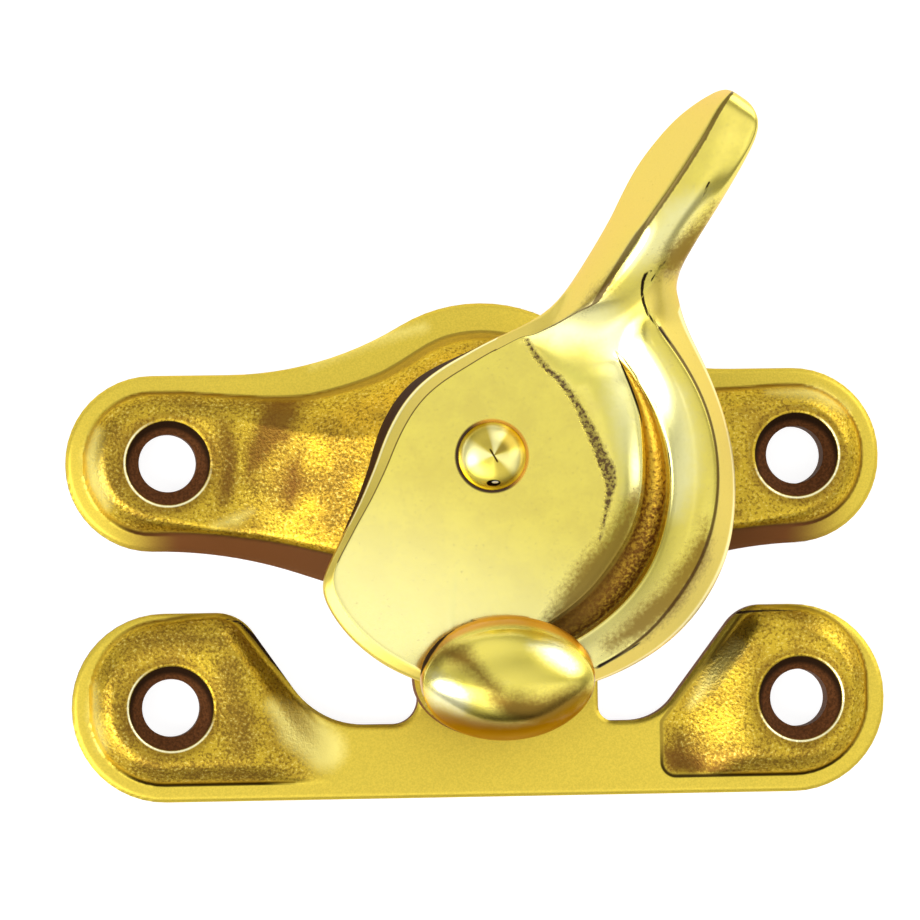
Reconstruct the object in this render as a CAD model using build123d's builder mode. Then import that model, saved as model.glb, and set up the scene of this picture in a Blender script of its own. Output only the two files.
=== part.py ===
from build123d import *
from math import cos, radians, sin, tan
import os

# A cast brass sash fastener: base, turning cam with its thumb lever, rivet, washers and keep.
# Millimetres. The origin is the pivot axis where it meets the mounting plane, +Z is up from the
# window rail, +X runs along the base and the keep lies on the -Y side.

# Fixing holes, for No. 8 countersunk wood screws
hole_spacing = 50.2
hole_radius = 2.3
sink_radius = 3.35
sink_angle = 90

# Base casting
ear_reach_left = 8.1
ear_reach_right = 6.9
ear_half_width = 7.0
ear_corner = 6.9
boss_radius_back = 12.5
boss_slope_back = 30.4
boss_root_back = 27.0
boss_radius_front = 13.1
boss_slope_front = 18.5
boss_root_front = 10.0
flange_height = 1.8
flange_width = 1.0
flange_width_front = 0.2
ear_height = 3.8
boss_height = 8.0
body_draft = 9
ramp_start = 18.5
ramp_end = 6.5
ramp_radius = 14.0
edge_round = 0.7

# Cored underside of the boss
core_half_length = 8.5
core_half_width = 7.0
core_corner = 5.0
roof_thickness = 2.4

# Cam plate and its raised spiral rim
cam_clearance = 0.3
cam_thickness = 3.2
cam_reach = 20.4
cam_bore_clearance = 0.06
rim_rise = 2.0
rim_wall = 1.5
rim_bevel = 1.1
rim_fall = 0.5
plate_tuck = 0.4

# Thumb lever
lever_angle = 57
lever_under_round = 0.6

# Rivet and washers
rivet_radius = 2.0
rivet_head_radius = 2.95
rivet_head_height = 1.7
rivet_head_clearance = 0.1
tail_radius = 2.9
tail_height = 1.0
spring_washer_radius = 4.8
spring_washer_thickness = 0.5
spring_washer_dish = 0.5
tail_washer_radius = 3.8
tail_washer_thickness = 0.8
washer_bore_clearance = 0.1

# Keep casting; its screws lie on a line just inside the cam's reach
keep_line_inset = 0.95
keep_reach_left = 7.85
keep_reach_right = 6.95
keep_ear_half_width = 7.5
keep_ear_corner = 7.4
keep_plate = 2.2
keep_pad_rise = 1.7
keep_band = 1.35
keep_band_back = 0.35
keep_pad_round = 1.2
pad_shoulder = 3.0
pad_nose = 1.4
pad_setback = 0.9
pad_tail_left = 2.0
pad_tail_right = 0.4
shoulder_run_left = 5.5
shoulder_run_right = 4.5
knee_run_left = 11.85
knee_run_right = 11.4
keep_waist_drop = 1.6
keep_tongue_rise = 2.45
tongue_inset_left = 1.0
tongue_spread_right = 1.1
tongue_corner = 0.8
tongue_root_left = 2.0
tongue_root_right = 1.2
shoulder_round = 3.5
knee_round_left = 7.0
knee_round_right = 4.5
hook_offset = 0.75
hook_setback = 2.15
hook_half_length = 7.15
hook_half_width = 5.0
hook_rise = 5.5
hook_back_radius = 7.5
hook_back_proud = 0.15
lip_bevel_width = 0.8
lip_bevel_height = 1.5
lip_thickness = 1.0
tip_depth = 1.4
tip_thickness = 0.6
throat_clearance = 0.4

# Levels and places that follow
cam_bottom = boss_height + cam_clearance
plateau = cam_bottom + cam_thickness
rim_top = plateau + rim_rise
roof = boss_height - roof_thickness
half_spacing = hole_spacing / 2
keep_line_y = keep_line_inset - cam_reach

# Shares that shape the curves
cap_middle_share = 0.6
facing_up = 0.5
lever_shoulder_share = 0.6
lever_shoulder_drop = 0.12
lever_flank_share = 0.5


def base_hole_places(level):
    """Centres of the base's two screw holes at this height."""
    return [(-half_spacing, 0, level), (half_spacing, 0, level)]


def keep_hole_places(level):
    """Centres of the keep's two screw holes at this height."""
    return [(-half_spacing, keep_line_y, level), (half_spacing, keep_line_y, level)]


def polar(radius, angle):
    """Point at this radius and angle about the pivot."""
    return (radius * cos(radians(angle)), radius * sin(radians(angle)))


def cap_middle(radius, height, rim_level):
    """Middle point of a round cap's profile; a negative height makes it bulge downwards."""
    sphere = (radius**2 + height**2) / (2 * height)
    middle = radius * cap_middle_share
    drop = abs(sphere) - (sphere**2 - middle**2) ** 0.5
    return (middle, rim_level + height - drop if height > 0 else rim_level + height + drop)


def side_knee(boss_radius, slope, inset, half_width):
    """Apex height and knee distance of one long side of the base's outline."""
    apex = (boss_radius - inset) / cos(radians(slope))
    return apex, (apex - half_width) / tan(radians(slope))


def base_outline(ear_inset, back_inset, front_inset):
    """Corners and corner radii of the base's outline, drawn in from the edge."""
    left = -half_spacing - ear_reach_left + ear_inset
    right = half_spacing + ear_reach_right - ear_inset
    half_width = ear_half_width - ear_inset
    corner = ear_corner - ear_inset
    back_apex, back_knee = side_knee(boss_radius_back, boss_slope_back, back_inset, half_width)
    front_apex, front_knee = side_knee(boss_radius_front, boss_slope_front, front_inset, half_width)
    points = [
        (left, half_width),
        (-back_knee, half_width),
        (0, back_apex),
        (back_knee, half_width),
        (right, half_width),
        (right, -half_width),
        (front_knee, -half_width),
        (0, -front_apex),
        (-front_knee, -half_width),
        (left, -half_width),
    ]
    back = [boss_root_back, boss_radius_back - back_inset, boss_root_back]
    front = [boss_root_front, boss_radius_front - front_inset, boss_root_front]
    return points, [corner] + back + [corner, corner] + front + [corner]


def body_outline(level):
    """Outline of the drafted body at this height above the mounting plane."""
    lean = level * tan(radians(body_draft))
    return base_outline(flange_width + lean, flange_width + lean, flange_width_front + lean)


# Base: the drafted body cut to the ramp profile
with BuildPart() as body:
    for level in (0, boss_height):
        with BuildSketch(Plane.XY.offset(level)):
            with BuildLine():
                points, corner_radii = body_outline(level)
                FilletPolyline(*points, radius=corner_radii, close=True)
            make_face()
    loft(ruled=True)
    with BuildSketch(Plane.XZ):
        with BuildLine():
            ear_end = half_spacing + max(ear_reach_left, ear_reach_right)
            profile = [
                (-ear_end, 0),
                (-ear_end, ear_height),
                (-ramp_start, ear_height),
                (-ramp_end, boss_height),
                (ramp_end, boss_height),
                (ramp_start, ear_height),
                (ear_end, ear_height),
                (ear_end, 0),
            ]
            bends = [0, 0, ramp_radius, ramp_radius, ramp_radius, ramp_radius, 0, 0]
            FilletPolyline(*profile, radius=bends, close=True)
        make_face()
    extrude(amount=boss_radius_front + boss_radius_back, both=True, mode=Mode.INTERSECT)
    upper = body.faces().filter_by(lambda face: face.normal_at().Z > facing_up)
    walls = body.faces().filter_by(lambda face: abs(face.normal_at().Z) < facing_up)
    fillet([edge for edge in upper.edges() if edge in walls.edges()], radius=edge_round)

# Base: the flange, the body, the cored underside and the holes in one casting
with BuildPart() as base:
    with BuildSketch(Plane.XY):
        with BuildLine():
            points, corner_radii = base_outline(0, 0, 0)
            FilletPolyline(*points, radius=corner_radii, close=True)
        make_face()
    extrude(amount=flange_height)
    add(body.part)
    with BuildSketch(Plane.XY):
        RectangleRounded(2 * core_half_length, 2 * core_half_width, core_corner)
    extrude(amount=roof, mode=Mode.SUBTRACT)
    with Locations((0, 0, boss_height)):
        Hole(radius=rivet_radius)
    with Locations(*base_hole_places(ear_height)):
        CounterSinkHole(hole_radius, sink_radius, counter_sink_angle=sink_angle)
base.part.label = "base"

# Cam: stations round the spiral rim, from under the hook to the root of the lever.
# Angle, how far the edge falls short of the full reach, width of the rim, height share.
rim_stations = [
    (-104, 1.8, 0.7, 0.1),
    (-82, 1.5, 2.0, 0.45),
    (-60, 0.6, 4.4, 0.8),
    (-38, 0.0, 6.3, 1.0),
    (-15, 0.6, 6.0, 1.0),
    (8, 1.6, 5.4, 1.0),
    (24, 2.2, 5.3, 1.15),
    (38, 2.1, 5.8, 1.35),
]

# The cam's cut-away side and lobe, from the root of the lever round to the rim
cut_away = [(4.0, 11.0), (-1.8, 8.1), (-5.8, 5.5), (-7.9, 2.4), (-9.1, -0.6), (-10.5, -3.7), (-12.2, -7.1)]
lobe_nose = [(-13.4, -9.6), (-13.0, -11.6)]
lobe = [(-11.3, -14.2), (-8.9, -16.1), (-5.8, -17.5)]

with BuildPart() as rim:
    for angle, shortfall, width, share in rim_stations:
        outward = Vector(*polar(1, angle), 0)
        crest = plateau + rim_rise * share
        outer = cam_reach - shortfall
        inner = outer - width
        radial = Plane(origin=(0, 0, 0), x_dir=outward, z_dir=outward.cross(Vector(0, 0, 1)))
        with BuildSketch(radial):
            Polygon(
                (inner - rim_wall, cam_bottom),
                (outer, cam_bottom),
                (outer - rim_bevel, crest - rim_fall),
                (inner, crest),
                (inner - rim_wall, plateau - rim_fall),
                align=None,
            )
    loft()

# Lever: stations out along it. Distance from the pivot, then the left edge, the ridge and the right
# edge measured across the lever, then the height of its underside and of its ridge above the cam.
lever_stations = [
    (9.0, 2.6, 2.2, -6.0, 0.0, 3.0),
    (13.5, 2.0, 0.3, -7.2, 0.0, 5.0),
    (17.5, 1.5, -0.1, -5.9, 0.3, 6.9),
    (21.0, 2.05, -0.4, -4.5, 1.5, 8.6),
    (25.0, 2.55, -0.65, -4.45, 3.5, 10.2),
    (29.0, 2.3, -0.75, -4.2, 5.6, 11.5),
    (31.8, 1.3, -0.5, -3.45, 7.3, 12.0),
    (33.5, 0.0, -0.9, -2.0, 9.0, 11.6),
]

with BuildPart() as lever:
    along = Vector(*polar(1, lever_angle), 0)
    across = Vector(*polar(1, lever_angle + 90), 0)
    for distance, left, ridge, right, under, top in lever_stations:
        low = cam_bottom + under
        high = cam_bottom + top
        with BuildSketch(Plane(origin=along * distance, x_dir=across, z_dir=along)):
            with BuildLine():
                foot = (left - lever_under_round, low)
                edge = (left, low + lever_under_round)
                crown = (ridge, high)
                shoulder_width = lever_shoulder_share * (right - ridge)
                shoulder = (ridge + shoulder_width, high - lever_shoulder_drop * (high - low))
                flank = (right, low + lever_flank_share * (high - low))
                heel = (right + lever_under_round, low)
                Line(foot, edge)
                Line(edge, crown)
                Spline(crown, shoulder, flank, heel)
                Line(heel, foot)
            make_face()
    loft()

# Cam and lever in one casting; the plate is tucked in under the rim's outer edge
plate_reach = cam_reach - plate_tuck
with BuildPart() as cam_lever:
    with BuildSketch(Plane.XY.offset(cam_bottom)):
        with BuildLine():
            under_rim = [polar(plate_reach - shortfall, angle) for angle, shortfall, _, _ in rim_stations]
            away = Spline(*cut_away)
            Spline(cut_away[-1], *lobe_nose, lobe[0])
            tail = Spline(*lobe, *under_rim)
            Line(tail @ 1, away @ 0)
        make_face()
    extrude(amount=cam_thickness)
    add(rim.part)
    add(lever.part)
    with Locations((0, 0, plateau)):
        Hole(radius=rivet_radius + cam_bore_clearance)
cam_lever.part.label = "cam_lever"

# Rivet: domed head over the cam, shank through cam and base, tail headed over in the core
head_seat = plateau + rivet_head_clearance
spring_bottom = roof - spring_washer_dish - spring_washer_thickness
tail_top = spring_bottom - tail_washer_thickness
with BuildPart() as pivot_rivet:
    with BuildSketch(Plane.XZ):
        with BuildLine():
            head_top = (0, head_seat + rivet_head_height)
            tail_end = (0, tail_top - tail_height)
            Line(tail_end, head_top)
            head_middle = cap_middle(rivet_head_radius, rivet_head_height, head_seat)
            ThreePointArc(head_top, head_middle, (rivet_head_radius, head_seat))
            Line((rivet_head_radius, head_seat), (rivet_radius, head_seat))
            Line((rivet_radius, head_seat), (rivet_radius, tail_top))
            Line((rivet_radius, tail_top), (tail_radius, tail_top))
            ThreePointArc((tail_radius, tail_top), cap_middle(tail_radius, -tail_height, tail_top), tail_end)
        make_face()
    revolve(axis=Axis.Z)
pivot_rivet.part.label = "pivot_rivet"

# Dished spring washer under the roof of the boss
washer_bore = rivet_radius + washer_bore_clearance
with BuildPart() as spring_washer:
    with BuildSketch(Plane.XZ):
        Polygon(
            (washer_bore, spring_bottom),
            (washer_bore, spring_bottom + spring_washer_thickness),
            (spring_washer_radius, roof),
            (spring_washer_radius, roof - spring_washer_thickness),
            align=None,
        )
    revolve(axis=Axis.Z)
spring_washer.part.label = "spring_washer"

# Plain washer under the rivet's tail
with BuildPart() as tail_washer:
    with BuildSketch(Plane.XY.offset(tail_top)):
        Circle(tail_washer_radius)
        Circle(washer_bore, mode=Mode.SUBTRACT)
    extrude(amount=tail_washer_thickness)
tail_washer.part.label = "tail_washer"

# Keep: lines that its outline and pads share
keep_top = keep_line_y + keep_ear_half_width
keep_bottom = keep_line_y - keep_ear_half_width
keep_left = -half_spacing - keep_reach_left
keep_right = half_spacing + keep_reach_right
waist = keep_line_y - keep_waist_drop
tongue = keep_line_y + keep_tongue_rise
tongue_left = hook_offset - hook_half_length + tongue_inset_left
tongue_right = hook_offset + hook_half_length + tongue_spread_right
shoulder_left = -half_spacing + shoulder_run_left
shoulder_right = half_spacing - shoulder_run_right
knee_left = -half_spacing + knee_run_left
knee_right = half_spacing - knee_run_right


def pad(outer, shoulder, inner):
    """One raised pad of the keep, with its upper edge rounded over."""
    low = keep_bottom + keep_band
    high = keep_top - keep_band_back
    round_end = keep_ear_corner - keep_band
    corners = [(outer, low), (outer, high), (shoulder, high), (inner, waist - keep_band), (inner, low)]
    corner_radii = [round_end, round_end, pad_shoulder, pad_nose, pad_nose]
    with BuildPart() as block:
        with BuildSketch(Plane.XY.offset(keep_plate)):
            with BuildLine():
                FilletPolyline(*corners, radius=corner_radii, close=True)
            make_face()
        extrude(amount=keep_pad_rise)
        fillet(block.faces().sort_by(Axis.Z)[-1].edges(), radius=keep_pad_round)
    return block.part


pads = [
    pad(keep_left + keep_band, shoulder_left - pad_setback, knee_left + pad_tail_left),
    pad(keep_right - keep_band, shoulder_right + pad_setback, knee_right - pad_tail_right),
]

# Keep: the hook's dome, round in plan and then narrowed to an oval
lip_level = rim_top + throat_clearance + lip_thickness
hook_top = plateau + hook_rise
cap_length = hook_half_length - lip_bevel_width
cap_rise = hook_top - lip_level
with BuildPart() as dome:
    with BuildSketch(Plane.XZ):
        with BuildLine():
            crown = (0, hook_top)
            wall_top = (hook_half_length, lip_level - lip_bevel_height)
            lip_edge = (cap_length, lip_level)
            Polyline(crown, (0, 0), (hook_half_length, 0), wall_top, lip_edge)
            ThreePointArc(lip_edge, cap_middle(cap_length, cap_rise, lip_level), crown)
        make_face()
    revolve(axis=Axis.Z)
    scale(by=(1, hook_half_width / hook_half_length, 1))
hook_centre = Vector(hook_offset, keep_line_y + hook_setback, 0)
placed_dome = Pos(hook_centre) * dome.part

# Keep: side view of the hook, and the throat that the turning cam sweeps
hook_back = hook_centre.Y - hook_half_width - hook_back_proud
hook_front = hook_centre.Y + hook_half_width + keep_band
leg_top = cam_bottom - throat_clearance
with BuildPart() as hook:
    add(placed_dome)
    with BuildSketch(Plane.YZ):
        with BuildLine():
            back_top = (hook_back, hook_top - hook_back_radius)
            crown_back = (hook_back + hook_back_radius, hook_top)
            side = [
                back_top,
                (hook_back, 0),
                (tongue, 0),
                (tongue, leg_top),
                (hook_front, leg_top),
                (hook_front, hook_top),
                crown_back,
            ]
            Polyline(*side)
            RadiusArc(back_top, crown_back, hook_back_radius)
        make_face()
    extrude(amount=keep_right, both=True, mode=Mode.INTERSECT)
    with BuildSketch(Plane.XZ):
        throat = cam_reach + throat_clearance
        ceiling = rim_top + throat_clearance
        tip = -hook_centre.Y - hook_half_width + tip_thickness
        Polygon(
            (0, leg_top),
            (throat, leg_top),
            (throat, leg_top + cam_thickness),
            (throat - rim_bevel, ceiling),
            (tip, ceiling),
            (tip, ceiling - tip_depth),
            (0, ceiling - tip_depth),
            align=None,
        )
    revolve(axis=Axis.Z, mode=Mode.SUBTRACT)

# Keep: plate, pads and hook in one casting
with BuildPart() as keep:
    with BuildSketch(Plane.XY):
        with BuildLine():
            corners = [
                (keep_left, keep_bottom),
                (keep_left, keep_top),
                (shoulder_left, keep_top),
                (knee_left, waist),
                (tongue_left, waist),
                (tongue_left, tongue),
                (tongue_right, tongue),
                (tongue_right, waist),
                (knee_right, waist),
                (shoulder_right, keep_top),
                (keep_right, keep_top),
                (keep_right, keep_bottom),
            ]
            ear_rounds = [keep_ear_corner, keep_ear_corner]
            left_rounds = [shoulder_round, knee_round_left, tongue_root_left, tongue_corner]
            right_rounds = [tongue_corner, tongue_root_right, knee_round_right, shoulder_round]
            FilletPolyline(*corners, radius=ear_rounds + left_rounds + right_rounds + ear_rounds, close=True)
        make_face()
    extrude(amount=keep_plate)
    add(pads)
    add(hook.part)
    with Locations(*keep_hole_places(keep_plate + keep_pad_rise)):
        CounterSinkHole(hole_radius, sink_radius, counter_sink_angle=sink_angle)
keep.part.label = "keep"

os.makedirs("parts", exist_ok=True)
for piece in (base, cam_lever, pivot_rivet, spring_washer, tail_washer, keep):
    print(piece.part.label, round(piece.part.volume, 1), piece.part.bounding_box())
    export_step(piece.part, f"parts/{piece.part.label}.step")
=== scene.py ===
import bpy
import numpy as np
from math import cos, radians, sin, tan
from mathutils import Matrix, Vector


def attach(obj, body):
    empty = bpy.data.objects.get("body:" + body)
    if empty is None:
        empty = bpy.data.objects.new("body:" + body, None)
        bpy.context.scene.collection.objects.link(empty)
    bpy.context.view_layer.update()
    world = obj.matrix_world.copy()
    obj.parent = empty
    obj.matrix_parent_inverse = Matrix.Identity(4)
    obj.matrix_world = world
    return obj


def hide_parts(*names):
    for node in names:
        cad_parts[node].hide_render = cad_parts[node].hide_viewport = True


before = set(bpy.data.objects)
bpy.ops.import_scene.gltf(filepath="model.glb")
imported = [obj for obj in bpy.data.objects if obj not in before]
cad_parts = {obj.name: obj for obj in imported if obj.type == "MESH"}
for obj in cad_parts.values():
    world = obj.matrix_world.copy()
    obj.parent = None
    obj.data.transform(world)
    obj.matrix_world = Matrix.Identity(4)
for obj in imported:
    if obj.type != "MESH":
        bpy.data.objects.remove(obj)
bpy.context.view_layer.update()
mm = 0.001


def enterMode(mode):
    bpy.ops.object.mode_set(mode=mode)


def deselectAll():
    if bpy.context.object and bpy.context.object.mode != "OBJECT":
        enterMode("OBJECT")
    bpy.ops.object.select_all(action="DESELECT")


def pickOut(thing):
    deselectAll()
    bpy.context.view_layer.objects.active = thing
    thing.select_set(True)


def selectMesh(action="SELECT"):
    bpy.ops.mesh.select_all(action=action)


def extrudeUp(height):
    bpy.ops.mesh.extrude_region_move(TRANSFORM_OT_translate={"value": (0, 0, height)})


def closeMesh():
    # faces outwards, then back to object mode
    selectMesh()
    bpy.ops.mesh.normals_make_consistent(inside=False)
    enterMode("OBJECT")


def smoothOut(thing, levels=3):
    pickOut(thing)
    smoothing = thing.modifiers.new("Smooth", "SUBSURF")
    smoothing.levels = levels
    smoothing.render_levels = levels
    bpy.ops.object.modifier_apply(modifier="Smooth")


def cornerPlaces(mesh):
    places = np.zeros(len(mesh.vertices) * 3)
    mesh.vertices.foreach_get("co", places)
    return places.reshape(-1, 3)


def cornerKey(corner):
    return tuple(round(number, 6) for number in corner)


def between(table, place):
    # straight between the rows of a table whose rows are (place, value, value, ...)
    if place <= table[0][0]:
        return table[0][1:]
    for low, high in zip(table, table[1:]):
        if place <= high[0]:
            share = (place - low[0]) / (high[0] - low[0])
            return tuple(a + (b - a) * share for a, b in zip(low[1:], high[1:]))
    return table[-1][1:]


# shader values that add and multiply like numbers
class Wire:
    def __init__(self, finish, socket):
        self.finish = finish
        self.socket = socket

    def calc(self, operation, *others):
        return self.finish.math(operation, self, *others)

    def __add__(self, other):
        return self.calc("ADD", other)

    def __radd__(self, other):
        return self.finish.math("ADD", other, self)

    def __sub__(self, other):
        return self.calc("SUBTRACT", other)

    def __rsub__(self, other):
        return self.finish.math("SUBTRACT", other, self)

    def __mul__(self, other):
        return self.calc("MULTIPLY", other)

    def __rmul__(self, other):
        return self.finish.math("MULTIPLY", other, self)

    def __truediv__(self, other):
        return self.calc("DIVIDE", other)

    def step(self, low, high):
        # 0 at low, 1 at high, smooth between them
        return self.finish.wire("MapRange", 0, {"interpolation_type": "SMOOTHSTEP"}, [self, low, high])


def highest(first, *others):
    for other in others:
        first = first.calc("MAXIMUM", other)
    return first


def flatLength(across, along, squash=1.0):
    return (across * across * squash + along * along).calc("SQRT")


class Finish:
    def __init__(self, holder):
        holder.use_nodes = True
        self.holder = holder
        self.tree = holder.node_tree
        self.tree.nodes.clear()

    def feed(self, socket, value):
        if isinstance(value, Wire):
            self.tree.links.new(value.socket, socket)
        elif isinstance(value, tuple) and len(value) == 3 and socket.type == "RGBA":
            socket.default_value = (*value, 1.0)
        else:
            socket.default_value = value

    def node(self, kind, settings=None, values=None):
        made = self.tree.nodes.new("ShaderNode" + kind)
        for name, value in (settings or {}).items():
            setattr(made, name, value)
        pairs = values.items() if isinstance(values, dict) else enumerate(values or [])
        for place, value in pairs:
            self.feed(made.inputs[place], value)
        return made

    def wire(self, kind, output=0, settings=None, values=None):
        return Wire(self, self.node(kind, settings, values).outputs[output])

    def math(self, operation, *values):
        return self.wire("Math", 0, {"operation": operation}, list(values))

    def split(self, vector):
        return [Wire(self, socket) for socket in self.node("SeparateXYZ", None, [vector]).outputs]

    def attributes(self, names):
        return [self.wire("Attribute", "Fac", {"attribute_name": name}) for name in names.split()]

    def noise(self, scale, detail=3.0, roughness=0.5):
        values = {"Vector": self.millimetres, "Scale": scale, "Detail": detail, "Roughness": roughness}
        return self.wire("TexNoise", "Fac", None, values)

    def mixColor(self, factor, first, second):
        settings = {"data_type": "RGBA", "clamp_factor": True}
        return self.wire("Mix", 2, settings, {0: factor, 6: first, 7: second})

    def layers(self, color, *coats):
        # a coat is its mask and the colour that covers what lies below
        for mask, tone in coats:
            color = self.mixColor(mask, color, tone)
        return color

    def surface(self, values):
        for name, value in values.items():
            self.feed(self.shell.inputs[name], value)
        return self.holder


def paint(red, green, blue):
    # a screen colour, 0 to 255, as the shader's own numbers
    return tuple(((part / 255 + 0.055) / 1.055) ** 2.4 if part > 10 else part / 255 / 12.92
                 for part in (red, green, blue))


def painted(tones):
    return {name: paint(*tone) for name, tone in tones.items()}


def darker(tone, share):
    return tuple(part * share for part in tone)


# bare brass; its glancing reflections stay golden
metalShell = {"Metallic": 1.0, "Specular IOR Level": 0.12, "Specular Tint": (1.0, 0.7, 0.34, 1.0)}


def startMetal(name):
    finish = Finish(bpy.data.materials.new(name))
    finish.shell = finish.node("BsdfPrincipled", None, metalShell)
    finish.node("OutputMaterial", None, [Wire(finish, finish.shell.outputs[0])])
    place = finish.wire("TexCoord", "Object")
    finish.x, finish.y, finish.z = (axis / mm for axis in finish.split(place))
    finish.up = finish.split(finish.wire("TexCoord", "Normal"))[2]
    finish.faceUp = finish.split(finish.wire("NewGeometry", "True Normal"))[2]
    finish.millimetres = finish.wire("VectorMath", 0, {"operation": "SCALE"}, {0: place, "Scale": 1 / mm})
    return finish


print("stage: brass finishes")

castLook = painted({
    "band": (218, 194, 74),
    "pad": (202, 171, 52),
    "padDeep": (164, 131, 44),
    "fleck": (102, 77, 30),
    "ramp": (222, 178, 48),
    "shade": (134, 103, 38),
    "stain": (108, 72, 30),
    "shine": (252, 238, 140),
    "glare": (252, 250, 208),
    "wall": (108, 66, 34),
    "hole": (92, 54, 28),
    "edge": (92, 56, 22),
    "ink": (34, 18, 8),
    "hook": (226, 210, 84),
    "lip": (224, 168, 48),
})


def castBrass(name, holeLine, look=castLook):
    # linished bands, pitted as-cast pads, walls painted brown as shade, a polished hook, and painted shade
    # and highlights
    finish = startMetal(name)
    cast, steep, reach = finish.attributes("cast steep reach")
    stain, ink, shine, shade = finish.attributes("stain ink shine shade")
    pits = finish.noise(4.3, 2.5, 0.6)
    broad = finish.noise(0.35, 3.0, 0.55)
    grain = finish.noise(7.0, 3.0, 0.6)
    high = finish.z.step(8.4, 9.4)
    facingUp = finish.up.step(-0.1, 0.1)

    # bands and pads, with painted shade and painted glints on the pits, and a dark line between them, painted
    # shade along the pad's edge that is darkest at the front
    dusk = (shade + pits * 1.4 - 0.7 + broad - 0.5).step(-1.1, 1.1)
    pad = finish.layers(
        look["pad"],
        (finish.z.step(4.0, 6.5), look["ramp"]),
        ((broad * 0.9 + pits * 0.4).step(0.5, 0.85) * 0.8, look["padDeep"]),
        (dusk * 0.7, look["shade"]),
        ((pits + dusk * 0.05).step(0.52, 0.64) * 0.6, look["fleck"]),
        ((1.0 - pits.step(0.32, 0.42)) * 0.3, look["shine"]),
    )
    band = finish.mixColor(grain.step(0.3, 0.7), darker(look["band"], 0.84), look["band"])
    front = 1.0 - finish.y.step(holeLine - 5.5, holeLine - 3.0)
    line = reach.step(-0.16, -0.04) * (1.0 - reach.step(0.08, 0.3)) * finish.x.step(-31.0, -27.5)
    runOut = finish.x.step(-18.0, -14.5) * (1.0 - finish.x.step(2.0, 6.0))
    runOut = runOut * (1.0 - finish.y.step(-17.0, -14.0))
    line = line * (1.0 - high) * (1.0 - runOut)

    # the hook's front lip, and its steep back, which is painted in shade
    lip = finish.z.step(11.5, 12.0) * (1.0 - finish.z.step(14.6, 14.95)) * finish.y.step(-19.5, -16.5)
    back = finish.z.step(2.5, 3.5) * (1.0 - finish.up.step(0.3, 0.92)) * (1.0 - finish.y.step(-21.2, -18.0))

    # patina with painted shade, painted highlights, side walls painted in shade, and shadow lines
    stainAndShadeMask = (stain + pits * 0.7 - 0.35 + broad * 1.2 - 0.6).step(-0.95, 0.75)
    stainAndShadeMask = stainAndShadeMask * facingUp * highest(cast, high)
    # painted highlights along the shine brush lines, whiter on the hook
    glow = (shine + pits * 0.8 - 0.4).step(-0.9, 0.7)
    # walls, and the base's front near the boss, are painted brown as shade
    wall = highest(1.0 - finish.faceUp.step(0.05, 0.45), steep) * (1.0 - high)
    drawn = ink.step(-0.04, 0.05) * facingUp

    # countersinks, painted in shade inside and darkest on one side, with a painted highlight on part of the
    # rim and a painted dark ring round it
    aside = finish.x.calc("ABSOLUTE") - baseSizes["holes"]
    along = finish.y - holeLine
    holeReach = flatLength(aside, along)
    hole = 1.0 - holeReach.step(3.30, 3.40)
    rimLight = holeReach.step(3.36, 3.42) * (1.0 - holeReach.step(3.46, 3.58))
    rimLight = rimLight * (aside * 0.35 - along * 0.45 + broad * 2.0 - 0.6).step(-0.8, 0.8)
    rimDark = holeReach.step(3.5, 3.6) * (1.0 - holeReach.step(3.7, 4.3)) * 0.45
    sinkShade = finish.mixColor(pits.step(0.35, 0.65), darker(look["hole"], 0.55), look["hole"])
    sinkShade = finish.mixColor((holeReach + along * 0.12).step(2.85, 3.3), sinkShade, look["ink"])

    color = finish.layers(
        band,
        (cast, pad),
        (line * (0.55 + front * 0.4), finish.mixColor(front, look["edge"], look["ink"])),
        (high, look["hook"]),
        (lip, look["lip"]),
        (stainAndShadeMask * 0.88, look["stain"]),
        (back * high * 0.85, look["shade"]),
        (glow * 0.75, finish.mixColor(high, look["shine"], look["glare"])),
        (wall, look["wall"]),
        (back, look["stain"]),
        (drawn, look["ink"]),
        (rimDark, look["edge"]),
        (rimLight * 0.85, look["glare"]),
        (hole, sinkShade),
    )
    # the painted shade and dark lines are dull and bare of polish
    dullDark = highest(hole, back * (1.0 - high), drawn, wall * 0.8)
    bare = highest(dullDark, stainAndShadeMask, back)
    height = pits * cast * (1.0 - high) + grain * 0.15
    return finish.surface({
        "Base Color": color,
        "Roughness": 0.44 + cast * -0.1 + pits * 0.06 + high * -0.22 + lip * 0.15 + dullDark * 0.3,
        "Metallic": 1.0 - dullDark * 0.9,
        "Coat Weight": high * (0.6 - bare * 0.6),
        "Coat IOR": 1.7,
        "Coat Roughness": 0.14,
        "Normal": finish.wire("Bump", 0, None, {"Strength": 0.75, "Distance": 0.055 * mm, "Height": height}),
    })


camLook = painted({
    "plateau": (224, 208, 76),
    "slope": (214, 204, 80),
    "matte": (224, 202, 92),
    "pale": (242, 238, 168),
    "grooveLit": (198, 160, 52),
    "grooveShaded": (104, 68, 26),
    "line": (64, 40, 16),
    "ink": (20, 10, 6),
    "crease": (74, 54, 24),
    "speck": (186, 164, 62),
    "stain": (104, 74, 28),
    "wall": (48, 25, 14),
    "bright": (250, 240, 176),
    "ringDark": (54, 34, 16),
    "ringLit": (210, 150, 44),
})


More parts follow.
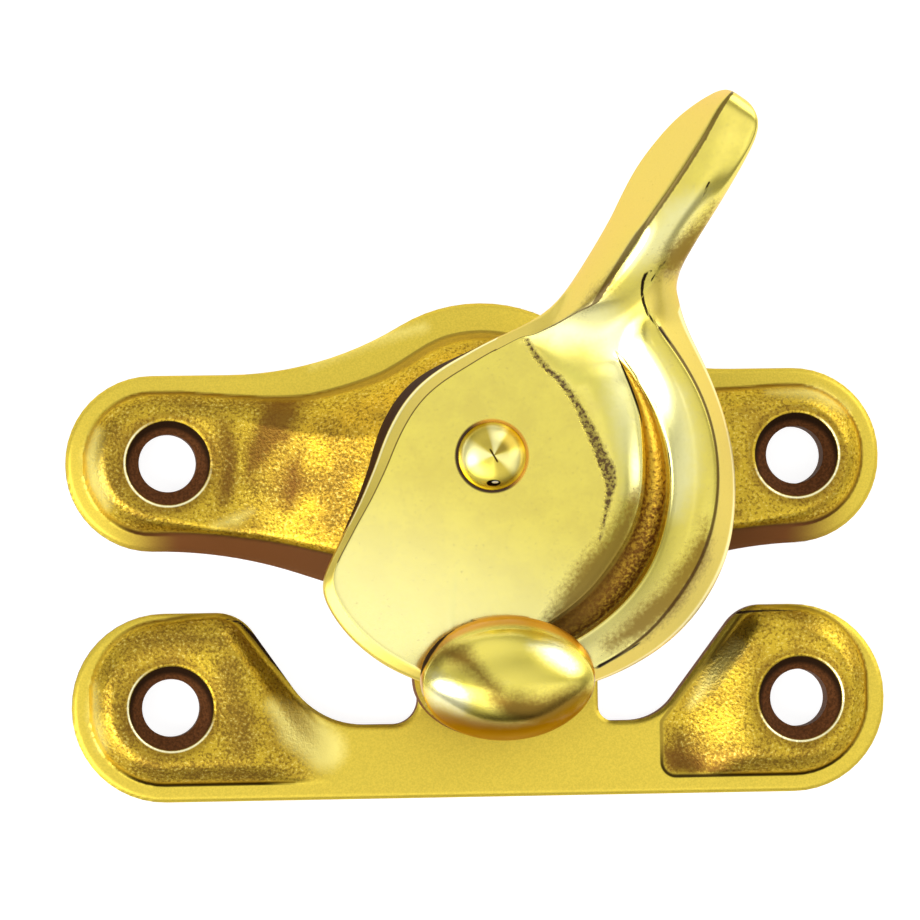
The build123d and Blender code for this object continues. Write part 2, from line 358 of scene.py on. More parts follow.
def camBrass(look=camLook):
    # polished plateau and rim, linished bevels, an as-cast groove, painted shade lines in the creases and
    # painted highlights
    finish = startMetal("camBrass")
    groove, satin, line, slope, wall, ridge = finish.attributes("groove satin line slope wall ridge")
    crease, stain, ink, pale = finish.attributes("crease stain ink pale")
    groove = groove.step(0.25, 0.6)
    satin = satin.step(0.47, 0.53)
    fine = finish.noise(3.4, 4.0, 0.6)
    grain = finish.noise(8.0, 3.0, 0.6)
    broad = finish.noise(0.3, 3.0, 0.6)
    facingUp = finish.up.step(-0.1, 0.1)

    # painted highlights: pale patches, and a painted sheen towards the lower left
    paleHighlight = (pale + fine * 0.8 - 0.4 + broad * 1.6 - 0.8).step(-1.2, 1.2)
    lowSheen = (finish.x * -0.35 - finish.y).step(2.0, 17.0) * (0.75 + fine * 0.5)
    polished = finish.layers(
        look["plateau"],
        (slope, look["slope"]),
        ((broad + fine * 0.3).step(0.45, 0.85) * 0.3, look["speck"]),
        (paleHighlight * 0.8, look["pale"]),
        (lowSheen * 0.6, look["pale"]),
    )
    matte = finish.mixColor(grain, darker(look["matte"], 0.86), look["matte"])
    # the as-cast groove is painted lit orange at the top and in shade towards the bottom
    depth = (fine * 1.5 + finish.y.step(-8.0, 6.0) * 0.5 - 0.35).step(0.25, 0.8)

    # patina with painted shade, painted shade lines in the crease, along the rim's outer line and the bevel
    # and beside the ridge, and drawn shadow lines
    stainAndShadeMask = (stain + fine * 1.6 - 0.8 + broad - 0.5).step(-0.9, 0.7)
    rimLine = line.step(0.88, 0.96) * 0.9
    creaseShade = (crease + fine * 0.5 - 0.22).step(-0.2, 0.14) * (0.7 + fine.step(0.42, 0.56) * 0.3)
    strip = (ridge + fine * 0.12).step(0.74, 0.82) * (1.0 - satin)
    drawn = ink.step(-0.04, 0.05) * facingUp

    # painted highlight along the outline's edge and painted shade on its wall, and the painted shadow round
    # the rivet, lit warm on one side
    edgeHighlight = wall.step(-0.2, -0.1) * (1.0 - wall.step(0.02, 0.1))
    dark = wall.step(0.05, 0.2)
    radial = flatLength(finish.x, finish.y)
    ring = radial.step(2.6, 2.66) * (1.0 - radial.step(2.82, 3.0)) * finish.z.step(11.2, 11.3)
    ringWay = (finish.x + finish.y * 0.6).step(-0.6, 1.8)

    color = finish.layers(
        polished,
        (satin, matte),
        (groove, finish.mixColor(depth, look["grooveShaded"], look["grooveLit"])),
        ((fine - groove).step(0.60, 0.76) * 0.45, look["speck"]),
        (stainAndShadeMask * facingUp * 0.85, look["stain"]),
        (rimLine, look["line"]),
        (creaseShade, look["crease"]),
        (strip * 0.9, look["crease"]),
        (drawn, look["ink"]),
        (edgeHighlight, look["bright"]),
        (dark, look["wall"]),
        (ring, finish.mixColor(ringWay, look["ringDark"], look["ringLit"])),
    )
    # the painted shade, dark lines and stain are dull and bare of polish
    dullDark = highest(dark, drawn, strip * 0.9, creaseShade * 0.8, rimLine, ring * 0.8, stainAndShadeMask * 0.55)
    bare = highest(dullDark, stainAndShadeMask, groove, satin * 0.6)
    height = fine * (0.05 + groove + creaseShade * 0.8) + grain * satin * 0.12
    return finish.surface({
        "Base Color": color,
        "Roughness": 0.19 + satin * 0.2 + groove * 0.22 + creaseShade * 0.2 + stainAndShadeMask * 0.1 + dark * 0.3,
        "Metallic": 1.0 - dullDark * 0.9,
        "Coat Weight": 0.9 - bare * 0.9,
        "Coat IOR": 1.7,
        "Coat Roughness": 0.12,
        "Normal": finish.wire("Bump", 0, None, {"Strength": 0.7, "Distance": 0.1 * mm, "Height": height}),
    })


def rivetBrass():
    # a turned dome: painted highlights and painted shade run in fans from the middle
    finish = startMetal("rivetBrass")
    radial = highest(flatLength(finish.x, finish.y), 0.01)
    color = finish.mixColor(finish.noise(5.0), paint(226, 208, 84), paint(238, 224, 100))
    dusk, sheen = paint(128, 98, 38), paint(250, 246, 186)
    fans = [(118, 0.74, 0.55, dusk), (40, 0.86, 0.75, dusk), (-62, 0.84, 0.5, dusk),
            (175, 0.8, 0.7, sheen), (80, 0.9, 0.6, sheen), (-15, 0.8, 0.5, sheen)]
    for angle, low, strength, tone in fans:
        heading = (finish.x * cos(radians(angle)) + finish.y * sin(radians(angle))) / radial
        color = finish.mixColor(heading.step(low, 1.0) * strength, color, tone)
    # a dark dash through the middle, which is a painted reflection, and a nick with a painted glint at the
    # edge
    across = (finish.x * 0.87 + finish.y * 0.5).calc("ABSOLUTE")
    along = (finish.y * 0.87 - finish.x * 0.5).calc("ABSOLUTE")
    nick = flatLength(finish.x, finish.y + 2.12, 0.2)
    glint = flatLength(finish.x - 0.12, finish.y + 2.06, 0.12)
    color = finish.layers(
        color,
        ((1.0 - across.step(0.04, 0.1)) * (1.0 - along.step(0.5, 0.7)), paint(58, 38, 16)),
        (1.0 - nick.step(0.22, 0.28), paint(24, 12, 6)),
        (1.0 - glint.step(0.07, 0.11), paint(255, 252, 236)),
    )
    return finish.surface({"Base Color": color, "Roughness": 0.34, "Anisotropic": 0.6})


def plainBrass(name, color, rough):
    finish = startMetal(name)
    fine = finish.noise(5.0)
    tone = finish.mixColor(fine, darker(color, 0.85), color)
    return finish.surface({"Base Color": tone, "Roughness": rough + fine * 0.06})


def dress(node, material):
    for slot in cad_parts[node].material_slots:
        slot.material = material


dress("spring_washer", plainBrass("springBrass", paint(205, 180, 90), 0.3))
dress("tail_washer", plainBrass("tailBrass", paint(200, 172, 84), 0.3))

print("stage: base and keep castings")

baseSizes = {
    "left": -33.2,
    "right": 32.0,
    "half": 7.0,
    "corner": 6.9,
    "bossBack": (12.5, 30.4),
    "bossFront": (13.1, 18.5),
    "rootBack": 27,
    "rootFront": 36,
    "holes": 25.1,
    "holeRadius": 2.3,
    "sinkRadius": 3.35,
    "sinkTop": 3.55,
    "boreRadius": 2.0,
    "band": 1.8,
    "ear": 3.8,
    "boss": 8.0,
    "grid": 0.17,
    "shoulder": 2.0,
    "bossShoulder": 5.5,
    "block": 12,
}

# x, then the width of the light band on the back and on the front of the base
bandWidths = [
    (-33, 1.35, 1.4), (-27, 1.3, 1.3), (-24, 1.3, 1.35), (-19, 1.7, 1.5), (-14, 2.35, 1.85),
    (-8, 2.6, 2.4), (-3, 2.3, 2.5), (3, 2.3, 2.5), (8, 2.6, 2.4), (14, 2.2, 1.85), (19, 1.6, 1.5),
    (24, 1.3, 1.35), (32, 1.3, 1.35),
]


def roundedLoop(corners, rounds, steps=12):
    # a closed line through the corners with each corner rounded to its own radius
    loop = []
    for place, corner in enumerate(corners):
        here = Vector(corner)
        before = (Vector(corners[place - 1]) - here).normalized()
        after = (Vector(corners[(place + 1) % len(corners)]) - here).normalized()
        half = before.angle(after) / 2
        radius = rounds[place]
        centre = here + (before + after).normalized() * radius / sin(half)
        start = here + before * radius / tan(half) - centre
        end = here + after * radius / tan(half) - centre
        middle = (start + end).normalized() * radius
        swing = start.angle(middle)
        side = 1 if start.x * end.y > start.y * end.x else -1
        for step in range(steps + 1):
            turn = (2 * step / steps - 1) * swing * side
            across = middle.x * cos(turn) - middle.y * sin(turn)
            along = middle.x * sin(turn) + middle.y * cos(turn)
            loop.append(centre + Vector((across, along)))
    return [tuple(point) for point in loop]


def fromLine(x, y, start, end):
    # the share of a line at the point nearest to a place, and the distance to it
    dx, dy = end[0] - start[0], end[1] - start[1]
    share = np.clip(((x - start[0]) * dx + (y - start[1]) * dy) / (dx * dx + dy * dy), 0, 1)
    return share, np.hypot(x - start[0] - share * dx, y - start[1] - share * dy)


def edgeDistance(loop, x, y):
    # distance from a closed line, above zero inside it
    nearest = np.full(x.shape, 1e9)
    inside = np.zeros(x.shape, bool)
    for (ax, ay), (bx, by) in zip(loop, loop[1:] + loop[:1]):
        if (bx - ax) ** 2 + (by - ay) ** 2 < 1e-12:
            continue
        nearest = np.minimum(nearest, fromLine(x, y, (ax, ay), (bx, by))[1])
        if ay != by:
            inside ^= ((ay > y) != (by > y)) & (x < (bx - ax) * (y - ay) / (by - ay) + ax)
    return np.where(inside, nearest, -nearest)


def ease(low, high, value):
    share = np.clip((value - low) / (high - low), 0, 1)
    return share * share * (3 - 2 * share)


def roundOver(share):
    # a pillow's shoulder: a soft foot, then round, then level
    return ease(0, 0.16, share) * 0.22 + 0.78 * np.sin(share * np.pi / 2) ** 1.15


def sideKnee(bossRadius, slope, halfWidth):
    apex = bossRadius / cos(radians(slope))
    return apex, (apex - halfWidth) / tan(radians(slope))


def baseLoop():
    left, right, half = baseSizes["left"], baseSizes["right"], baseSizes["half"]
    backApex, backKnee = sideKnee(*baseSizes["bossBack"], half)
    frontApex, frontKnee = sideKnee(*baseSizes["bossFront"], half)
    corners = [(left, half), (-backKnee, half), (0, backApex), (backKnee, half), (right, half),
               (right, -half), (frontKnee, -half), (0, -frontApex), (-frontKnee, -half), (left, -half)]
    ear, backRoot, frontRoot = baseSizes["corner"], baseSizes["rootBack"], baseSizes["rootFront"]
    backBoss, frontBoss = baseSizes["bossBack"][0], baseSizes["bossFront"][0]
    rounds = [ear, backRoot, backBoss, backRoot, ear, ear, frontRoot, frontBoss, frontRoot, ear]
    return roundedLoop(corners, rounds)


def brokenEdge(height, depth, drop):
    # the top's edge falls away over its last 0.35 mm
    return np.where(depth < 0.35, height - drop * (1 - np.clip(depth / 0.35, 0, 1)) ** 2, height)


def dipped(height, x, y):
    # the pads dip a little round the screw holes
    for side in (-1, 1):
        far = np.hypot(x - side * baseSizes["holes"], y)
        height = height - 0.3 * np.exp(-((far - 2.6) / 1.5) ** 2)
    return height


def baseForm(loop, x, y):
    # height of the top, how far a place is on the as-cast pad, how much of the front is painted in shade,
    # distance from the band
    depth = edgeDistance(loop, x, y)
    stations = np.array(bandWidths)
    back = ease(-2.0, 2.0, y)
    backWidth, frontWidth = (np.interp(x, stations[:, 0], stations[:, column]) for column in (1, 2))
    width = backWidth * back + frontWidth * (1 - back)
    away = np.abs(x)
    frontShade = (1 - ease(24.0, 31.0, away)) * (1 - back)
    band, ear = baseSizes["band"], baseSizes["ear"]
    top = ear + (baseSizes["boss"] - ear) * (1 - ease(5.5, 20.5, away))
    steep = (1 - ease(21.0, 29.0, away)) * (1 - back)
    bandTop = band + 0.8 * (1 - ease(6.0, 20.0, away)) * back
    bandTop = bandTop + (top - 0.8 - bandTop) * steep
    wider = (baseSizes["bossShoulder"] - baseSizes["shoulder"]) * (1 - ease(4.0, 21.0, away))
    shoulder = baseSizes["shoulder"] + wider * back
    shoulder = shoulder + (0.8 - shoulder) * steep
    share = np.clip((depth - width) / shoulder, 0, 1)
    low = band - 0.15
    height = low + (bandTop - low) * np.clip(depth / width, 0, 1)
    height = dipped(brokenEdge(height, depth, 0.35) + (top - bandTop) * roundOver(share), x, y)
    return height, ease(0.0, 0.22, share), frontShade * (1 - ease(0.0, 0.3, share)), depth - width


# brush lines: x, y and half the width, in millimetres, for stain with painted shade, painted highlights and
# painted shade; the base has no dark lines of its own
baseMarks = {
    "stain": [
        [(-14.93, 5.63, 0.5), (-15.97, 4, 1.4), (-17.01, 2.5, 1.3), (-18.05, 0.74, 1), (-18.84, -1.02, 0.3)],
        [(-14.95, -0.09, 0.3), (-15.23, -1.86, 0.7), (-15.58, -3.49, 0.5)],
        [(-20.6, 3.2, 0), (-20, 1, 0.3), (-20.3, -1.4, 0.2), (-21, -3.2, 0)],
    ],
    "shine": [
        [(-30.65, 2.52, 0), (-31.19, 0.49, 0.3), (-30.91, -1.55, 0.3), (-29.98, -3.34, 0)],
        [(-21.61, -5.05, -0.3), (-19.83, -4.57, 0), (-18.54, -3.9, -0.3)],
        [(-13.5, 7.6, -0.2), (-9, 9.6, 0.2), (-4.5, 10.6, 0)],
        [(23, 5, -0.3), (27, 4.9, 0.2), (29.4, 3.6, 0)],
    ],
    "shade": [
        [(-29.2, 2.6, 0.2), (-29.6, 0, 0.9), (-28.9, -2.6, 0.7), (-26.8, -4.5, 0.3)],
        [(-28.6, 4.2, 0.3), (-26, 5, 0.5), (-22, 4.4, 0.7), (-17.5, 4.9, 0.9), (-15, 5.6, 0.6)],
        [(-20.9, 2, 0), (-20.2, 0, 0.4), (-20.4, -3, 0.1)],
        [(-18.6, -1.8, 0.4), (-16.6, -2.6, 0.9), (-13.6, -1.4, 1.1), (-10.6, -3.4, 0.8)],
        [(-12.6, 3, 0.2), (-11.4, -0.5, 0.9), (-12, -4.6, 0.7)],
        [(-13, 6.6, 0.2), (-9, 8.3, 0.5), (-5, 9.1, 0.3)],
        [(22.4, -5.6, 0), (25.4, -5.8, 0.1), (28.4, -5, 0)],
    ],
    "ink": [],
}


keepSizes = {
    "left": -32.95,
    "right": 32.05,
    "top": -11.95,
    "bottom": -26.95,
    "waist": -21.05,
    "tongue": -17.0,
    "corner": 7.4,
    "line": -19.45,
    "sinkTop": 3.6,
    "plate": 2.2,
    "rise": 1.7,
    "shoulder": 2.1,
    "hookX": 0.75,
    "hookBack": -22.3,
    "hookSides": 28,
    "foot": (6.9, 4.96),
    "lip": (6.88, 4.74),
    "dome": (6.72, 4.42),
}


def keepLoop():
    left, right, top, bottom = (keepSizes[side] for side in ("left", "right", "top", "bottom"))
    waist, tongue, ear = keepSizes["waist"], keepSizes["tongue"], keepSizes["corner"]
    corners = [(left, bottom), (left, top), (-19.6, top), (-13.25, waist), (-5.4, waist), (-5.4, tongue),
               (9, tongue), (9, waist), (13.7, waist), (20.6, top), (right, top), (right, bottom)]
    return roundedLoop(corners, [ear, ear, 3.5, 7.0, 2.0, 0.8, 0.8, 1.2, 4.5, 3.5, ear, ear])


def padLoops():
    low, high = -25.6, -12.3
    leftPad = [(-31.6, low), (-31.6, high - 0.8), (-20.3, high + 0.5), (-13.2, -20.9), (-11.3, -21.2),
               (-11.5, low)]
    rightPad = [(30.7, low), (30.7, high - 0.5), (21.3, high + 0.5), (14.2, -20.9), (14.0, -21.2),
                (14.0, low)]
    leftRounds, rightRounds = [6.0, 6.0, 3.2, 0.8, 0.5, 1.6], [6.0, 6.0, 3.2, 0.3, 0.1, 1.2]
    return [roundedLoop(leftPad, leftRounds), roundedLoop(rightPad, rightRounds)]


def keepForm(loop, x, y):
    # the pads stand above the plate at the ears and run out a little below the bar
    height = brokenEdge(np.full(x.shape, keepSizes["plate"]), edgeDistance(loop, x, y), 0.3)
    cast = np.zeros(x.shape)
    nearest = np.full(x.shape, -9.0)
    leftFade = (1 - ease(-19.5, -11.8, x), 0.0, 1 - ease(-15.5, -12.0, x))
    rightFade = (ease(15.2, 22.0, x), 0.35, 1.0)
    for padLoop, (fade, runOut, colored) in zip(padLoops(), (leftFade, rightFade)):
        inward = edgeDistance(padLoop, x, y)
        nearest = np.maximum(nearest, inward)
        share = np.clip(inward / keepSizes["shoulder"], 0, 1)
        height = height + (keepSizes["rise"] * fade - runOut * (1 - fade)) * roundOver(share)
        cast = np.maximum(cast, ease(0.0, 0.2, share) * colored)
    return dipped(height, x, y - keepSizes["line"]), cast, np.zeros(x.shape), nearest


# brush lines for stain with painted shade, painted highlights, painted shade and painted shadow lines
keepMarks = {
    "stain": [
        [(14.2, -23.6, 0.3), (15.3, -24.4, 0.95), (17.7, -25, 0.55), (20.1, -25.3, 0.1)],
        [(-5, -15.7, 0.3), (-4.15, -15.2, 0.6), (-3.07, -15.6, 0.75), (-1.9, -16.6, 0.45),
         (-1, -17.6, 0.2), (-0.2, -18.5, 0.2)],
        [(-0.4, -18.9, 0.4), (1.13, -19.8, 1), (3.31, -20.1, 1.3), (5.3, -19.6, 1.1), (6.6, -18.6, 0.5)],
        [(-5.2, -20.3, 0.2), (-3.8, -21, 0.6), (-1.9, -21.4, 0.8), (0.35, -21.5, 0.9), (2.6, -21.4, 0.9),
         (6.4, -20.3, 0.5)],
    ],
    "shine": [
        [(-16.9, -19.4, 0.4), (-14.9, -21.2, 1.5), (-12.9, -22.9, 1.4)],
        [(-31.2, -17.5, -0.2), (-31.3, -20, 0.1), (-30.6, -22.5, 0)],
        [(-4.9, -17.3, 0.2), (-4.4, -18.4, 0.9), (-3.2, -19.2, 0.5)],
        [(2.4, -14.8, -0.1), (4.2, -15.3, 0.6), (5.5, -16.5, 0.2)],
        [(16.4, -20, -0.2), (18.2, -17.6, 0.3), (20, -15.2, 0.2)],
    ],
    "shade": [
        [(-29.4, -16.8, 0.2), (-29.3, -19.4, 0.8), (-28.8, -22, 0.5)],
        [(-28.6, -14.2, 0.5), (-25, -13.8, 0.7), (-21.4, -14.2, 0.8)],
        [(-20.6, -16.4, 1), (-20.2, -19.4, 1.5), (-19.8, -22.4, 1.3)],
        [(-27.6, -24, 0.4), (-23, -24.6, 0.7), (-17, -24.8, 0.6), (-13, -24.8, 0.3)],
        [(15.4, -22.6, 0.8), (18, -23.8, 0.9), (22, -24.6, 0.6), (27, -24, 0.3)],
    ],
    "ink": [
        [(-20.8, -12.4, 0.04), (-19.5, -12.75, 0.12), (-18.4, -13.9, 0.17), (-17.1, -15.7, 0.13),
         (-15.7, -17.4, 0.08), (-13.3, -19.4, 0.07), (-10.45, -20.7, 0.06)],
        [(15.7, -17.6, 0.06), (17, -15.4, 0.16), (18.4, -13.5, 0.18), (19.9, -12.6, 0.15),
         (22.5, -12.45, 0.08), (25.1, -12.5, 0.03)],
        [(-6.4, -17.63, 0.08), (-5.96, -16.43, 0.16), (-5.4, -15.4, 0.19), (-4.73, -14.54, 0.17),
         (-3.96, -13.84, 0.1), (-3.29, -13.47, 0.03)],
    ],
}


def startRing(name, corners, fill="NOTHING"):
    deselectAll()
    bpy.ops.mesh.primitive_circle_add(vertices=corners, radius=mm, fill_type=fill)
    ring = bpy.context.object
    ring.name = name
    return ring


def prism(name, loop, low, high):
    block = startRing(name, len(loop), "NGON")
    for corner, (x, y) in zip(block.data.vertices, loop):
        corner.co = Vector((x, y, low)) * mm
    enterMode("EDIT")
    selectMesh()
    extrudeUp((high - low) * mm)
    closeMesh()
    return block


def turned(name, profile, x=0.0, y=0.0, steps=96):
    # a closed profile of (radius, height) spun round an upright axis
    body = startRing(name, len(profile))
    for corner, (radius, height) in zip(body.data.vertices, profile):
        corner.co = Vector((x + radius, y, height)) * mm
    enterMode("EDIT")
    selectMesh()
    bpy.ops.mesh.spin(steps=steps, angle=radians(360), center=(x * mm, y * mm, 0), axis=(0, 0, 1))
    selectMesh()
    bpy.ops.mesh.remove_doubles(threshold=0.00001)
    closeMesh()
    return body


def combine(body, tool, operation):
    pickOut(body)
    modifier = body.modifiers.new("Combine", "BOOLEAN")
    modifier.operation = operation
    modifier.object = tool
    modifier.solver = "EXACT"
    bpy.ops.object.modifier_apply(modifier="Combine")
    bpy.data.objects.remove(tool)


def castBlock(loop, form):
    # a fine sheet takes the height of the casting's top, then it is closed below
    xs, ys = zip(*loop)
    left, right, front, back = min(xs) - 0.5, max(xs) + 0.5, min(ys) - 0.5, max(ys) + 0.5
    columns, rows = round((right - left) / baseSizes["grid"]), round((back - front) / baseSizes["grid"])
    deselectAll()
    bpy.ops.mesh.primitive_grid_add(x_subdivisions=columns, y_subdivisions=rows, size=1)
    block = bpy.context.object
    mesh = block.data
    places = cornerPlaces(mesh)
    x = left + (places[:, 0] + 0.5) * (right - left)
    y = front + (places[:, 1] + 0.5) * (back - front)
    height = form(loop, x, y)[0]
    mesh.vertices.foreach_set("co", (np.stack([x, y, height], 1) * mm).ravel())
    mesh.update()
    enterMode("EDIT")
    bpy.ops.mesh.select_mode(type="EDGE")
    selectMesh("DESELECT")
    bpy.ops.mesh.select_non_manifold()
    bpy.ops.mesh.extrude_edges_move(TRANSFORM_OT_translate={"value": (0, 0, -6 * mm)})
    enterMode("OBJECT")
    for corner in mesh.vertices:
        if corner.select:
            corner.co.z = -mm
    enterMode("EDIT")
    bpy.ops.mesh.edge_face_add()
    closeMesh()
    return block


def sinkTool(x, y, top):
    # the screw's clearance hole and its countersink, widened a little above the casting
    hole, sink = baseSizes["holeRadius"], baseSizes["sinkRadius"]
    wide, over = sink + 0.6, baseSizes["block"]
    profile = [(0.0, -2), (hole, -2), (hole, top - (sink - hole)), (sink, top), (wide, top + 0.6)]
    return turned("sink", profile + [(wide, over), (0.0, over)], x, y, 64)


def startCasting(name, outline, line, sinkTop):
    block = prism(name, outline, 0, baseSizes["block"])
    for side in (-1, 1):
        combine(block, sinkTool(side * baseSizes["holes"], line, sinkTop), "DIFFERENCE")
    return block


def addValues(mesh, name, values):
    layer = mesh.attributes.new(name, "FLOAT", "POINT")
    layer.data.foreach_set("value", values.astype(np.float32))


def brush(mesh, marks):
    # how far each corner is inside the brush lines, in millimetres
    x, y = (cornerPlaces(mesh) / mm)[:, :2].T
    for name, brushLines in marks.items():
        inside = np.full(x.shape, -9.0)
        for brushLine in brushLines:
            for start, end in zip(brushLine, brushLine[1:]):
                share, away = fromLine(x, y, start, end)
                inside = np.maximum(inside, start[2] + (end[2] - start[2]) * share - away)
        addValues(mesh, name, inside)
    return x, y


def finishCasting(block, loop, form, marks, material, node):
    x, y = brush(block.data, marks)
    for name, values in zip(("cast", "steep", "reach"), form(loop, x, y)[1:]):
        addValues(block.data, name, values)
    pickOut(block)
    bpy.ops.object.shade_smooth_by_angle(angle=radians(38))
    block.data.materials.clear()
    block.data.materials.append(material)
    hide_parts(node)
    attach(block, "mounting")


# the cored underside and its narrower roof: left, front, right and back, then the rounds and the height
cores = [
    ((-8.5, -7, 8.5, 7), [5, 5, 5, 5], 3.4),
    ((-7, -6, 7, 5.2), [4, 4, 5, 5], 5.6),
]

outline = baseLoop()
base = startCasting("baseCasting", outline, 0, baseSizes["sinkTop"])
for (left, front, right, back), rounds, roof in cores:
    core = roundedLoop([(left, front), (right, front), (right, back), (left, back)], rounds)
    combine(base, prism("core", core, -2, roof), "DIFFERENCE")
bore = baseSizes["boreRadius"]
combine(base, turned("bore", [(0, -3), (bore, -3), (bore, 15), (0, 15)]), "DIFFERENCE")
combine(base, castBlock(outline, baseForm), "INTERSECT")
finishCasting(base, outline, baseForm, baseMarks, castBrass("baseBrass", 0.0), "base")
print("base", len(base.data.vertices), len(base.data.polygons))

# the foot's oval, then the dome's; share of the oval, height at the front and at the back
hookRings = [
    ("foot", 1.0, 0.6, 0.6), ("foot", 1.0, 6.0, 4.0), ("foot", 1.0, 10.0, 7.0), ("foot", 1.0, 12.6, 8.6),
    ("foot", 1.0, 13.95, 9.8), ("lip", 1.0, 14.45, 10.8), ("dome", 1.0, 15.05, 11.9),
    ("dome", 0.94, 15.4, 13.1), ("dome", 0.85, 15.85, 14.45), ("dome", 0.71, 16.28, 15.65),
    ("dome", 0.53, 16.62, 16.3), ("dome", 0.32, 16.87, 16.78), ("dome", 0.14, 16.98, 16.96),
]


def buildHook():
    hook = startRing("hook", keepSizes["hookSides"], "NGON")
    enterMode("EDIT")
    selectMesh()
    for ring in hookRings[1:]:
        extrudeUp(mm)
    enterMode("OBJECT")
    domeEdge = []
    for corner in hook.data.vertices:
        level = round(corner.co.z / mm)
        oval, share, front, back = hookRings[level]
        turn = Vector((corner.co.x, corner.co.y)).normalized()
        height = front + (back - front) * float(ease(-0.1, 0.85, -turn.y))
        length, width = keepSizes[oval]
        corner.co = Vector((keepSizes["hookX"] + turn.x * share * length,
                            keepSizes["hookBack"] + width * (1 + turn.y * share), height)) * mm
        if oval == "dome" and share == 1.0 and turn.y > -0.3:
            domeEdge.append(corner.index)
    creases = hook.data.attributes.new("crease_edge", "FLOAT", "EDGE")
    for edge in hook.data.edges:
        if edge.vertices[0] in domeEdge and edge.vertices[1] in domeEdge:
            creases.data[edge.index].value = 0.55
    smoothOut(hook)
    return hook


# radius and height of the space that the cam turns in, under the hook's lip
throat = [(5, 7.9), (20.8, 7.9), (20.8, 11.1), (19.7, 13.9), (12.9, 13.9), (12.9, 12.5), (5, 12.5)]

outline = keepLoop()
keep = startCasting("keepCasting", outline, keepSizes["line"], keepSizes["sinkTop"])
combine(keep, castBlock(outline, keepForm), "INTERSECT")
hook = buildHook()
tongue = keepSizes["tongue"]
combine(hook, prism("front", [(-10, tongue), (12, tongue), (12, -8), (-10, -8)], -1, 9), "DIFFERENCE")
combine(hook, turned("throat", throat, steps=180), "DIFFERENCE")
combine(keep, hook, "UNION")
keepBrass = castBrass("keepBrass", keepSizes["line"])
finishCasting(keep, outline, keepForm, keepMarks, keepBrass, "keep")
print("keep", len(keep.data.vertices), len(keep.data.polygons))

print("stage: cam and lever")

camSizes = {
    "bottom": 8.3,
    "plateau": 11.5,
    "bore": 2.06,
    "hub": 3.6,
    "rimRise": 1.8,
    "lipRise": 0.58,
    "grooveDepth": 0.9,
    "skirt": 1.2,
    "under": 8,
    "leverAngle": 57,
}

# angle; crease, groove's inner lip, rim's inner edge, rim's outer line, outer edge; height share
rimSlices = [
    (-104, 15.6, 16.4, 17.4, 18.15, 18.6, 0),
    (-92, 14.7, 15.4, 16.8, 18.3, 18.75, 0.12),
    (-80, 13.7, 14.3, 16.3, 18.4, 19, 0.42),
    (-72, 13, 13.7, 16, 18.4, 19.3, 0.62),
    (-64, 12.3, 13.25, 15.8, 18.42, 19.6, 0.8),
    (-56, 11.7, 12.95, 15.6, 18.42, 19.9, 0.88),
    (-48, 11.2, 12.6, 15.45, 18.4, 20.2, 0.95),
    (-40, 10.85, 12.35, 15.25, 18.2, 20.38, 1),
    (-32, 10.5, 12.25, 15, 18.2, 20.36, 1),
    (-24, 10.2, 12.15, 14.65, 18.15, 20.25, 1),
    (-16, 9.9, 12, 14.37, 18, 19.9, 1),
    (-8, 9.4, 11.85, 14.05, 17.8, 19.5, 1),
    (0, 8.7, 11.75, 13.75, 17.57, 19.13, 1),
    (8, 8.2, 11.83, 13.42, 17.3, 18.78, 1),
    (16, 7.9, 12, 13.17, 17, 18.5, 1),
    (24, 7.6, 12.17, 12.9, 16.65, 18.35, 1.05),
    (31, 7.5, 12.25, 12.75, 16.42, 18.4, 1.1),
    (37, 7.6, 12.4, 12.6, 16.34, 18.9, 1.15),
]

# angle and radius of the outline of the cut-away side and lobe
cutSlices = [
    (65.5, 13.45), (68, 12.3), (71, 11.4), (75, 10.65), (80, 9.95), (87, 9.28), (95, 8.7), (103, 8.26),
    (113, 8), (124, 7.9), (136.5, 7.94), (150, 8.03), (163, 8.23), (174, 8.6), (184, 9.13), (192, 9.95),
    (199.5, 11.1), (205, 12.5), (210, 14.1), (213.6, 15.7), (216.5, 16.7), (220, 17.25), (225, 17.66),
    (232, 18.1), (241, 18.42), (249, 18.5),
]

# angle, radius and height of the ridge from the corner of the crease to the lever
ridgeRun = [(58, 13.4, 13.3), (60, 12.5, 12.85), (62.5, 11.66, 12.4), (66.8, 10.67, 12.0),
            (70, 10.05, 11.75), (73.5, 9.55, 11.55)]

# distance along the lever; left edge, ridge, right edge across it; underside and ridge above the cam's bottom
leverStations = [
    (13.5, 2, 0.3, -7.2, 0, 5),
    (17.5, 1.5, 0.05, -5.9, 0.3, 6.9),
    (21, 2.05, -0.1, -4.5, 1.5, 8.6),
    (25, 2.55, -0.25, -4.45, 3.5, 10.2),
    (29, 2.3, -0.25, -4.2, 5.6, 11.5),
    (31.8, 1.3, 0.05, -3.85, 7.3, 12),
    (32.8, 0.7, -0.15, -3.25, 8.3, 11.85),
    (33.5, 0.2, -0.35, -1.9, 9, 11.4),
]


def polar(radius, angle, height):
    return (radius * cos(radians(angle)), radius * sin(radians(angle)), height)


